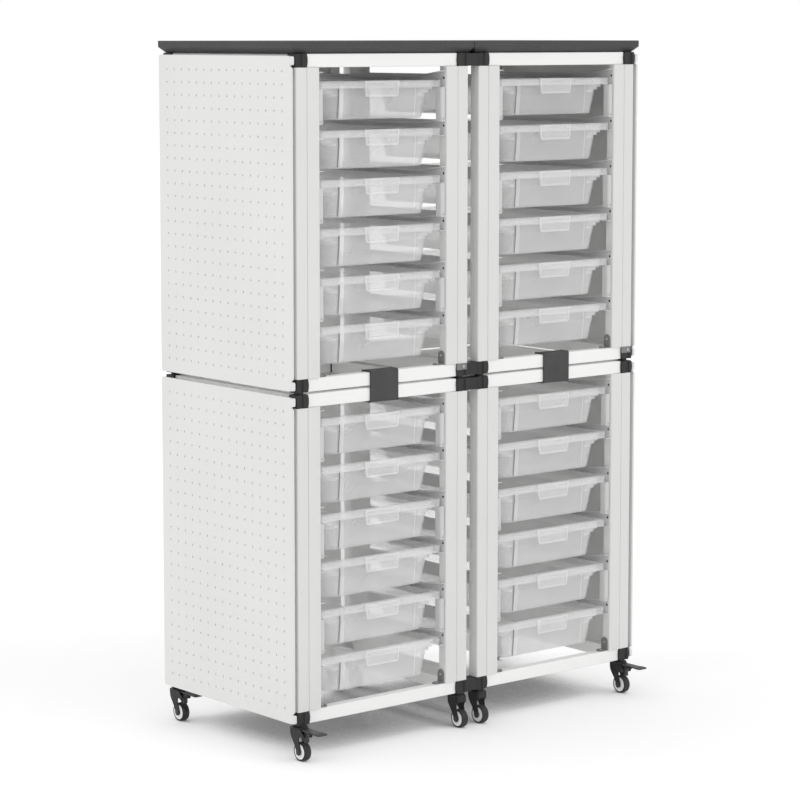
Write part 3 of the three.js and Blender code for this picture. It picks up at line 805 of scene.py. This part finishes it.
# Tray: rounded rectangles in order from under the floor, up the tapered wall and its three steps, round the
# turned-down lip and the rim, and back down inside to the floor. Each row also says how thick the plastic looks
def trayShell():
    s = trayLook
    t, x, y, c, e, f = s["wall"], s["halfX"], s["halfY"], s["rimEdge"], s["floorRound"], s["floorTurn"]
    outs, levels = x - np.array(s["stepIn"]), -s["rimDrop"] - s["stepDown"] * np.arange(1, 4)
    bodyX, bodyY, bodyTop = outs[-1], y - s["bodyY"], levels[-1]
    floorX, floorY = bodyX - s["taperX"], bodyY - s["taperY"]
    mouthX, mouthY = x - s["mouthX"], y - s["mouthY"]
    bottom, lip, rim, radii = -s["height"], -s["rimDrop"], s["rimRadius"], np.array(s["stepRadius"])
    near, far = s["apart"]
    big, corners = radii[-1], np.nan  # not a number: thick at the corners only
    rows = [  # half x, half y, z, corner radius, look of thickness
        (floorX - e, floorY - e, bottom, big - e, 0.5),
        (floorX - f, floorY - f, bottom + f, big - 1, 0.6),
        (floorX, floorY, bottom + e, big, 0.1),
        (bodyX, bodyY, bodyTop, big, 0.0),
    ]
    for out, z, r in zip(outs[::-1], levels[::-1], radii[::-1]):
        rows += [(out, bodyY + near, z, r, corners), (out, bodyY + far, z + s["stepDown"], r, corners)]
    rows += [
        (mouthX + t, mouthY + t, lip, rim + 1, 0.0),
        (mouthX + t, mouthY + t, -t, rim, -0.4),
        (x - t, y - t, -t, rim - t, -0.4),
        (x - t, y - t, lip, rim - t, 0.3),
        (x, y, lip, rim, 0.3),
        (x, y, -c, rim, -0.5),
        (x - c, y - c, 0.0, rim - c, 0.8),
        (mouthX + c, mouthY + c, 0.0, rim, 0.8),
        (mouthX, mouthY, -c, rim, -0.2),
    ]
    overs = (mouthX, outs[1] - t)
    for over, out, z, wide, tight in zip(overs, outs[1:] - t, levels + t, radii - t, radii[1:] - t):
        rows += [(over, bodyY - t + far, z, wide, corners), (out, bodyY - t + near, z, tight, corners)]
    rows += [
        (bodyX - t, bodyY - t, bodyTop + t - s["insideDrop"], big - t, 0.0),
        (floorX - t, floorY - t, bottom + t + e, big - t, 0.0),
        (floorX - t - e, floorY - t - e, bottom + t, big - e - t, 0.3),
    ]
    rings = np.stack([flatRing(seamedRect(hx, hy, r), z) for hx, hy, z, r, _ in rows])
    _, halfY, height, _, thick = np.array(rows).T
    around = rings.shape[1]
    # painted shade and highlight: a grey line with a paler band beside it near the left end of the front wall, and
    # a paler band near its right end
    dark, paintedHighlight = np.zeros((4, around // 4)), np.zeros((4, around // 4))
    left, right = 2, 3  # quarters of a ring: the seams of the front end the one and start the other
    dark[left, [-5, -4]] = s["dark"]  # a dark line, with a pale band beside it
    paintedHighlight[left, [-3, -2]] = s["paintedHighlight"]
    paintedHighlight[right, [3, 4]] = s["paintedHighlightRight"]
    thick = np.repeat(thick[:, None], around, 1)
    beyond = np.abs(rings[..., 0]) > s["seams"][0] + 1  # past the outermost seam
    thick = np.where(np.isnan(thick), s["cornerThick"] * beyond, thick)
    wall = ((halfY < mouthY - 1) & (height > bottom + e - 0.1))[:, None]  # without the rim and the floor's edge
    thick += wall * paintedHighlight.ravel()
    bend = wall * dark.ravel()
    return skin(rings), thick.ravel(), bend.ravel()


# Pull tab: a plate that narrows downward with rounded corners, whose border stands proud of the label field
def trayTab():
    s = tabLook
    w, f, h, r, n = s["width"] / 2, s["foot"] / 2, s["height"], s["radius"], s["arcPoints"]
    outline = np.concatenate([  # drawn as (z, x) for raising along y
        arc((-h + r, f - r), r, 90, 180, n), arc((-h + r, r - f), r, 180, 270, n), [[0.0, -w], [0.0, w]],
    ])
    back = -trayLook["halfY"]
    face = back - s["thick"]
    levels = [
        (face + s["sunk"], s["edge"] + s["soft"]), (face, s["edge"]), (face, s["soft"]),
        (face + s["soft"], 0.0), (back + s["lap"], 0.0),
    ]
    return raised(outline, levels, "y"), np.repeat(s["looks"], len(outline))


shell, shellThick, shellPaintedShade = trayShell()
tab, tabThick = trayTab()
# bend carries the painted shade line to the tray material
trayMarks = dict(
    thick=np.concatenate([shellThick, tabThick]), bend=np.concatenate([shellPaintedShade, np.zeros_like(tabThick)]),
)
for level, side in modules:
    for row in range(runnerLook["rows"]):
        middleY = frontY + trayLook["recess"] + trayLook["halfY"]
        place = (signs[side] * unit["moduleX"], middleY, rowTop(unit["floors"][level], row))
        node = f"{level}_{side}_tray_{row + 1}"
        clear = moved([shell, tab], place)
        piece(f"{node}_clear", clear, "tray", node, [node], sharp=32, marks=trayMarks)
print("trays made")


# top boards and stack clips

boardLook = dict(thick=24.0, edge=12.5, overhang=3.0, seam=0.6, corner=1.6, soft=0.8, softMiddle=0.3)
clipLook = dict(width=70.0, sheet=3.0, fit=0.3, lip=6.0, bend=2.2, halfGap=2.25, edge=0.5)


# Top board: a rectangle raised with a 45 degree bevel below and a small round on the upper edge
def topBoard(sign):
    s = boardLook
    outside = unit["moduleX"] + unit["half"] + panelLook["out"]
    x0, x1 = sorted([sign * outside, sign * s["seam"] / 2])
    y0, y1 = frontY - s["overhang"], frontY + unit["depth"] + s["overhang"]
    low = unit["floors"]["upper"] + unit["height"]
    bevel, top = s["thick"] - s["edge"], low + s["thick"]
    outline = roundedRect(x0, x1, y0, y1, s["corner"], steps=2)
    under = roundedRect(x0 + bevel, x1 - bevel, y0 + bevel, y1 - bevel, s["corner"], steps=2)
    rings = [flatRing(under, low)]
    m = s["softMiddle"]
    for height, depth in [(low + bevel, 0), (top - s["soft"], 0), (top - m, m), (top, s["soft"])]:
        rings.append(flatRing(inset(outline, depth), height))
    return [skin(np.stack(rings))]


# Sheet bent along a path: the path moved out to one side and back along the other
def bentSheet(path, thickness):
    ahead = np.diff(path, axis=0)
    ahead = ahead / np.linalg.norm(ahead, axis=1, keepdims=True)
    side = np.stack([-ahead[:, 1], ahead[:, 0]], -1)
    first, last = np.concatenate([side[:1], side]), np.concatenate([side, side[-1:]])
    lean = (first + last) / (1 + (first * last).sum(1, keepdims=True))
    return np.concatenate([path - lean * thickness / 2, (path + lean * thickness / 2)[::-1]])


# Stack clip: a C bent from strip round two rails, its corners quarter circles
def stackClip(middleX):
    s, r = clipLook, clipLook["bend"]
    mid = unit["floors"]["upper"] - s["halfGap"]
    half = s["sheet"] / 2
    y0 = frontY + frameLook["railRecess"] - s["fit"] - half
    y1 = frontY + frameLook["railRecess"] + frameLook["railDepth"] + s["fit"] + half
    reach = rail + s["halfGap"] + s["fit"] + half
    low, high = mid - reach, mid + reach
    tip = reach - half - s["lip"]
    path = np.concatenate([
        [[y1, mid - tip]], arc((y1 - r, low + r), r, 0, -90), arc((y0 + r, low + r), r, -90, -180),
        arc((y0 + r, high - r), r, 180, 90), arc((y1 - r, high - r), r, 90, 0), [[y1, mid + tip]],
    ])
    outline = bentSheet(path, s["sheet"])[::-1]
    levels = softEnds(middleX - s["width"] / 2, middleX + s["width"] / 2, s["edge"])
    return [raised(outline, levels, "x")]


for side, sign in signs.items():
    piece(f"{side}_board", topBoard(sign), "board", "frame", [f"{side}_top_board"], sharp=25)
    clip = stackClip(sign * unit["moduleX"])
    piece(f"{side}_clip", clip, "clip", "frame", [f"{side}_front_stack_clip"], sharp=30)
print("boards and clips made")


# casters

casterLook = dict(
    stemInset=14.0, top=72.2, shoulder=66.2, trail=8.0, axle=19.0, pivotY=21.0, pivotZ=52.0, knuckle=5.0,
    crown=14.0, crownIn=0.5, crownOver=0.4, crownDrop=0.3, crownEdge=1.0, crownRound=2.0,
    collar=16.0, neck=12.6, sides=32, stem=5.0, stemRise=14.0,
)
legLook = dict(
    inside=9.3, outside=11.5, back=17.0, front=15.0, foot=7.0, edge=0.6,
    backDrop=8.0, knee=(0.5, 44.0), waist=(4.5, 38.0), heel=3.0, footTurn=(20, -215),
    hollowLow=(-3.5, 16.0), hollowHigh=(2.0, -6.0), lip=(2.0, -1.5), knuckleTurn=(-60, -250), browDrop=2.0,
)


# Side view of a fork leg: square at the crown, an S-curve down the back to a round foot about the axle,
# and a hollow front edge that leaves the wheel's upper front open
def legOutline(braked):
    s, c = legLook, casterLook
    y, z, r, high, under = -c["trail"], c["axle"], s["foot"], c["shoulder"], c["shoulder"] - c["crown"]
    knee = (s["back"] + s["knee"][0], s["knee"][1])
    back = bezier([(s["back"], high - s["backDrop"]), knee, s["waist"], (y + r, z + s["heel"])], count=10)
    foot = arc((y, z), r, *s["footTurn"], count=14)
    pulls = [(y + s["hollowLow"][0], z + s["hollowLow"][1]), (y + s["hollowHigh"][0], under + s["hollowHigh"][1])]
    hollow = bezier([foot[-1], *pulls, (s["lip"][0] - s["front"], under + s["lip"][1])], count=8)[1:]
    front = np.array([[-s["front"], under], [-s["front"], high]])
    if braked:
        low = arc((-c["pivotY"], c["pivotZ"]), c["knuckle"], *s["knuckleTurn"], count=10)
        front = np.concatenate([low, [[-s["front"], high - s["browDrop"]]]])
    return np.concatenate([[[s["back"], high]], back, foot, hollow, front])[::-1]


# Fork: two legs, the crown across them, the swivel collar and the stem, about the stem's axis
def fork(x, y, braked):
    s, leg = casterLook, legLook
    legs = [raised(legOutline(braked), softEnds(leg["inside"], leg["outside"], leg["edge"]), "x")]
    legs += mirrored(legs, 0, 0)
    high, wide, inside = s["shoulder"], s["collar"], leg["outside"] - s["crownIn"]
    crown = bar((-inside, -leg["front"] - s["crownOver"], high - s["crown"]),
                (inside, leg["back"] - s["crownIn"], high - s["crownDrop"]), s["crownEdge"], "x", s["crownRound"])
    collar = turned([  # from the hollow under the collar up to the end of the stem
        (10.0, high - 1.5), (wide - 1.0, high - 1.5), (wide, high - 0.6), (wide, high + 1.4),
        (wide - 1.2, high + 2.6), (s["neck"], high + 3.2), (s["neck"] - 0.2, high + 4.4),
        (s["neck"] - 1.2, s["top"]), (s["stem"], s["top"]), (s["stem"], s["top"] + s["stemRise"]),
    ], (0, 0, 0), "z", s["sides"])
    return moved(legs + [crown, collar], (x, y, 0))


capLook = dict(
    axle=((4.4, 0.0), (4.4, 0.5), (3.6, 1.0), (1.5, 1.2)), axleSides=18,
    pin=((2.4, 0.0), (2.4, 0.7), (1.2, 1.1)), rivet=((2.2, 0.0), (2.0, 0.6), (1.0, 0.9)), pinSides=14,
    sunk=0.4, rivetSunk=0.3, rivetDrop=8.0,
)


# Axle ends and pedal pin: domed caps turned about X on the outside of the legs. A plain fork has a rivet in front
def forkCaps(x, y, braked):
    s, c = capLook, casterLook
    side = legLook["outside"] - s["sunk"]
    made = [turned(s["axle"], (side, -c["trail"], c["axle"]), "x", s["axleSides"])]
    if braked:
        made.append(turned(s["pin"], (side, -c["pivotY"], c["pivotZ"]), "x", s["pinSides"]))
    made += mirrored(made, 0, 0)
    if not braked:
        rivet = turned(s["rivet"], (0, 0, 0), "y", s["pinSides"])
        place = (0, -legLook["front"] + s["rivetSunk"], c["shoulder"] - s["rivetDrop"])
        made += moved(mirrored([rivet], 1, 0), place)
    return moved(made, (x, y, 0))


wheelLook = dict(
    radius=19.0, half=8.4, hub=15.4, sides=40, shoulder=2.6, shoulderIn=2.8, shoulderPoints=6, crownShare=0.35,
    lipDeep=1.2, lipOut=0.4, lipEdge=0.2,
    dish=((4.0, 1.6), (6.6, 1.4), (7.4, 0.5)),  # the hub's face: radius, and depth under the tyre's side
    ring=((-0.7, 0.2), (0.1, 1.0)),  # and its outer ring, from the tyre's seat
)


# A profile of (radius, half width), mirrored and carried round the axle of a caster at x, y
def aboutAxle(right, x, y):
    profile = np.concatenate([right, right[::-1] * [1, -1]])[::-1]
    return [turned(profile, (x, y - casterLook["trail"], casterLook["axle"]), "x", wheelLook["sides"], True)]


# Tyre: round shoulders and a slightly crowned tread
def tyre(x, y):
    s, h, w = wheelLook, wheelLook["hub"], wheelLook["half"]
    shoulder = arc((s["radius"] - s["shoulderIn"], w - s["shoulder"]), s["shoulder"], 90, 0, s["shoulderPoints"])
    lip = [[h, w - s["lipDeep"]], [h + s["lipOut"], w - s["lipEdge"]]]
    return aboutAxle(np.concatenate([lip, shoulder, [[s["radius"], w * s["crownShare"]]]]), x, y)


# Hub: a dished white disc inside the tyre with a raised ring round its edge
def hub(x, y):
    h, w = wheelLook["hub"], wheelLook["half"]
    dish = [[radius, w - deep] for radius, deep in wheelLook["dish"]]
    ring = [[h + out, w - deep] for out, deep in wheelLook["ring"]]
    return aboutAxle(np.array(dish + ring), x, y)


pedalLook = dict(
    reach=74.0, width=23.0, neck=18.4, tread=15.0, taper=7.0, sheet=3.0, lift=13.0, heel=4.0, half=6.0,
    tipRound=3.0, heelRound=2.0, edge=0.6, ribs=(3.5, 7.0, 10.5, 14.0), ribIn=3.4, ribHalf=0.8, ribEdge=0.25,
    ribSunk=0.4, ribRise=0.3, knuckleSides=20, webIn=1.0, webBack=1.5, webEdge=0.8, webRound=1.6, lap=0.5,
    shoe=9.0, shoeY=(-2.8, 2.2), shoeTrim=0.4,
    knob=2.9, knobAt=-11.5, knobDrop=4.0, knobX=(-7.2, -6.2, -3.2, -2.4), knobSides=16, post=1.4,
    hangerX=(-6.4, -3.0), hangerFoot=1.2, hangerEdge=0.5, hangerRound=0.8,
)


# Brake pedal: a level plate with a wide ribbed tread and a narrower neck, carried by a web from the knuckle round
# its pin, with a shoe below the knuckle over the wheel and two spring posts under the neck
def pedal(x, y):
    s, c = pedalLook, casterLook
    tip, k, top = c["pivotY"] - s["reach"], c["knuckle"], s["lift"]
    w, n, h = s["width"] / 2, s["neck"] / 2, s["half"]
    t, e, neck = s["tipRound"], s["heelRound"], tip + s["tread"] + s["taper"]
    right = np.concatenate([
        arc((w - t, tip + t), t, -90, 0, count=5), [[w, tip + s["tread"]], [n, neck]],
        arc((n - e, s["heel"] - e), e, 0, 90, count=4),
    ])
    plate = raised(np.concatenate([right, right[::-1] * [-1, 1]]), softEnds(top - s["sheet"], top, s["edge"]))
    ribs = []
    for at in s["ribs"]:
        ribs.append(bar((s["ribIn"] - w, tip + at - s["ribHalf"], top - s["ribSunk"]),
                        (w - s["ribIn"], tip + at + s["ribHalf"], top + s["ribRise"]), s["ribEdge"], "x"))
    knuckle = turned([(k, -h), (k, h)], (0, 0, 0), "x", s["knuckleSides"])
    side, under = h - s["webIn"], top - s["sheet"] + s["lap"]
    web = bar((-side, -k, 0), (side, k - s["webBack"], under), s["webEdge"], "x", s["webRound"])
    y0, y1 = s["shoeY"]
    shoe = bar((-side, y0, -k - s["shoe"] + s["shoeTrim"]), (side, y1, 0), s["webEdge"], "x", s["webRound"])
    low, at, p = top - s["sheet"] - s["knobDrop"], s["knobAt"], s["post"]
    post = turned(list(zip((p, s["knob"], s["knob"], p), s["knobX"])), (0, at, low), "x", s["knobSides"])
    x0, x1 = s["hangerX"]
    hanger = bar((x0, at - p, low - s["hangerFoot"]), (x1, at + p, under), s["hangerEdge"], "x", s["hangerRound"])
    springs = [post, hanger] + mirrored([post, hanger], 0, 0)
    return moved([plate] + ribs + [knuckle, web, shoe] + springs, (x, y - c["pivotY"], c["pivotZ"]))


outerX = unit["moduleX"] + unit["half"] - casterLook["stemInset"]
innerX = unit["moduleX"] - unit["half"] + casterLook["stemInset"]
columns = dict(left=-outerX, inner_left=-innerX, inner_right=innerX, right=outerX)
lines = dict(front=frontY + casterLook["stemInset"],
             back=frontY + unit["depth"] - casterLook["stemInset"])
for line, y in lines.items():
    for column, x in columns.items():
        name, braked = f"{line}_{column}", column in signs  # the four outer casters have brakes
        body, wheel, plastic = f"{name}_caster", f"{name}_wheel", "caster_plastic"
        piece(f"{name}_fork", fork(x, y, braked), "fork", body, [f"{name}_caster_fork"], sharp=35)
        piece(f"{name}_fork_caps", forkCaps(x, y, braked), "pedal", body)
        piece(f"{name}_tyre", tyre(x, y), "tyre", wheel, [f"{name}_caster_wheel"])
        piece(f"{name}_hub", hub(x, y), "hub", wheel)
        if braked:
            brake = f"{name}_brake"
            piece(f"{name}_pedal", pedal(x, y), "pedal", brake, [f"{brake}_pedal"], sharp=35)
print("casters made")
